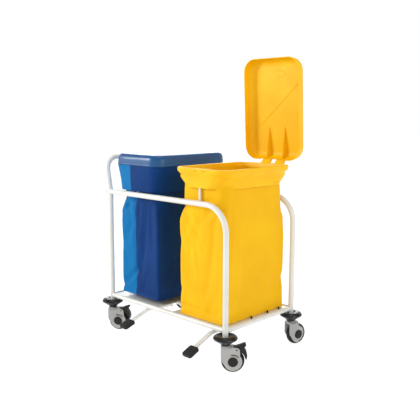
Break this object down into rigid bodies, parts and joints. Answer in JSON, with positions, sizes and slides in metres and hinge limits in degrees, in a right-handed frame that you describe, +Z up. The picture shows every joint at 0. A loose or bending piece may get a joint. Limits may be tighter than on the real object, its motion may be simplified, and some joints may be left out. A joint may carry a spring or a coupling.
{
  "type": "linen trolley",
  "caption": "Tubular steel linen trolley on swivel casters with pedal-opened lids over hanging bags and a raised push handle at one end.",
  "frame": {"origin": "on the floor, midway between the four legs", "axes": "+X along the trolley, away from the push handle; -Y is the pedal side; +Z up"},
  "size_m": [0.9114, 0.7077, 1.3481],
  "materials": {
    "white_steel": "gloss",
    "yellow_plastic": "satin",
    "blue_plastic": "satin",
    "yellow_fabric": "coated woven",
    "blue_fabric": "coated woven",
    "zinc_steel": "zinc plated",
    "grey_plastic": "satin",
    "wheel_plastic": "satin",
    "black_plastic": "satin",
    "bumper_plastic": "gloss",
    "black_rubber": "ribbed",
    "tyre_rubber": "smooth"
  },
  "bodies": {
    "frame": {"side_frame_front": "white_steel", "side_frame_rear": "white_steel", "leg_front_left": "white_steel", "leg_rear_left": "white_steel", "push_handle": "white_steel", "tube_end_caps": "grey_plastic", "base_rail_front": "white_steel", "base_rail_rear": "white_steel", "base_rail_left": "white_steel", "base_rail_right": "white_steel", "cross_tubes": "white_steel", "bag_shelf_yellow": "white_steel", "bag_shelf_blue": "white_steel", "shelf_studs": "black_rubber", "collar_posts": "white_steel", "bag_hoops": "zinc_steel", "yellow_collar": "yellow_plastic", "blue_collar": "blue_plastic", "yellow_bag": "yellow_fabric", "blue_bag": "blue_fabric", "hinge_brackets": "zinc_steel", "hinge_pins": "zinc_steel", "bracket_screws": "zinc_steel", "pedal_brackets": "white_steel", "rod_guides": "grey_plastic", "caster_stems": "zinc_steel", "caster_bumpers": "bumper_plastic"},
    "yellow_lid": {"yellow_lid": "yellow_plastic", "yellow_lift_pin": "zinc_steel"},
    "yellow_lift_rod": {"yellow_lift_rod": "zinc_steel"},
    "yellow_pedal": {"yellow_pedal_lever": "white_steel", "yellow_pedal_pad": "black_rubber"},
    "blue_lid": {"blue_lid": "blue_plastic", "blue_lift_pin": "zinc_steel"},
    "blue_lift_rod": {"blue_lift_rod": "zinc_steel"},
    "blue_pedal": {"blue_pedal_lever": "white_steel", "blue_pedal_pad": "black_rubber"},
    "caster_front_right": {"fork_front_right": "grey_plastic", "axle_front_right": "zinc_steel", "hub_caps_front_right": "black_plastic"},
    "wheel_front_right": {"tyre_front_right": "tyre_rubber", "hub_front_right": "wheel_plastic"},
    "brake_front_right": {"brake_pedal_front_right": "black_plastic"},
    "caster_front_left": {"fork_front_left": "grey_plastic", "axle_front_left": "zinc_steel", "hub_caps_front_left": "black_plastic"},
    "wheel_front_left": {"tyre_front_left": "tyre_rubber", "hub_front_left": "wheel_plastic"},
    "brake_front_left": {"brake_pedal_front_left": "black_plastic"},
    "caster_rear_right": {"fork_rear_right": "grey_plastic", "axle_rear_right": "zinc_steel", "hub_caps_rear_right": "black_plastic"},
    "wheel_rear_right": {"tyre_rear_right": "tyre_rubber", "hub_rear_right": "wheel_plastic"},
    "caster_rear_left": {"fork_rear_left": "grey_plastic", "axle_rear_left": "zinc_steel", "hub_caps_rear_left": "black_plastic"},
    "wheel_rear_left": {"tyre_rear_left": "tyre_rubber", "hub_rear_left": "wheel_plastic"}
  },
  "joints": [
    {"name": "yellow_lid_hinge", "type": "hinge", "parent": "frame", "child": "yellow_lid", "pos_m": [0.22, 0.274, 0.842], "axis": [-1, 0, 0], "range_deg": [-87, 0]},
    {"name": "yellow_pedal_press", "type": "hinge", "parent": "frame", "child": "yellow_pedal", "pos_m": [0.22, -0.08, 0.152], "axis": [1, 0, 0], "range_deg": [-4.48, 0]},
    {"name": "yellow_rod_lift", "type": "slide", "parent": "frame", "child": "yellow_lift_rod", "axis": [0, 0, 1], "range_m": [-0.0264, 0]},
    {"name": "blue_lid_hinge", "type": "hinge", "parent": "frame", "child": "blue_lid", "pos_m": [-0.2, 0.274, 0.842], "axis": [-1, 0, 0], "range_deg": [0, 87]},
    {"name": "blue_pedal_press", "type": "hinge", "parent": "frame", "child": "blue_pedal", "pos_m": [-0.2, -0.08, 0.152], "axis": [1, 0, 0], "range_deg": [0, 4.48]},
    {"name": "blue_rod_lift", "type": "slide", "parent": "frame", "child": "blue_lift_rod", "axis": [0, 0, 1], "range_m": [0, 0.0264]},
    {"name": "swivel_front_right", "type": "hinge", "parent": "frame", "child": "caster_front_right", "pos_m": [0.39, -0.228, 0.11], "axis": [0, 0, 1], "continuous": true},
    {"name": "spin_front_right", "type": "hinge", "parent": "caster_front_right", "child": "wheel_front_right", "pos_m": [0.41302, -0.20577, 0.05], "axis": [-0.6947, 0.7193, 0], "continuous": true},
    {"name": "brake_front_right", "type": "hinge", "parent": "caster_front_right", "child": "brake_front_right", "pos_m": [0.42453, -0.19466, 0.1025], "axis": [-0.6947, 0.7193, 0], "range_deg": [0, 6]},
    {"name": "swivel_front_left", "type": "hinge", "parent": "frame", "child": "caster_front_left", "pos_m": [-0.39, -0.228, 0.11], "axis": [0, 0, 1], "continuous": true},
    {"name": "spin_front_left", "type": "hinge", "parent": "caster_front_left", "child": "wheel_front_left", "pos_m": [-0.36347, -0.21011, 0.05], "axis": [-0.5592, 0.829, 0], "continuous": true},
    {"name": "brake_front_left", "type": "hinge", "parent": "caster_front_left", "child": "brake_front_left", "pos_m": [-0.35021, -0.20116, 0.1025], "axis": [-0.5592, 0.829, 0], "range_deg": [0, 6]},
    {"name": "swivel_rear_right", "type": "hinge", "parent": "frame", "child": "caster_rear_right", "pos_m": [0.39, 0.228, 0.11], "axis": [0, 0, 1], "continuous": true},
    {"name": "spin_rear_right", "type": "hinge", "parent": "caster_rear_right", "child": "wheel_rear_right", "pos_m": [0.39774, 0.25905, 0.05], "axis": [-0.9703, 0.2419, 0], "continuous": true},
    {"name": "swivel_rear_left", "type": "hinge", "parent": "frame", "child": "caster_rear_left", "pos_m": [-0.39, 0.228, 0.11], "axis": [0, 0, 1], "continuous": true},
    {"name": "spin_rear_left", "type": "hinge", "parent": "caster_rear_left", "child": "wheel_rear_left", "pos_m": [-0.37304, 0.25514, 0.05], "axis": [-0.848, 0.5299, 0], "continuous": true}
  ],
  "couplings": [
    {"joint": "yellow_pedal_press", "follows": "yellow_lid_hinge", "ratio": 0.051492},
    {"joint": "yellow_rod_lift", "follows": "yellow_lid_hinge", "m_per_rad": 0.017386},
    {"joint": "blue_pedal_press", "follows": "blue_lid_hinge", "ratio": 0.051492},
    {"joint": "blue_rod_lift", "follows": "blue_lid_hinge", "m_per_rad": 0.017386}
  ]
}
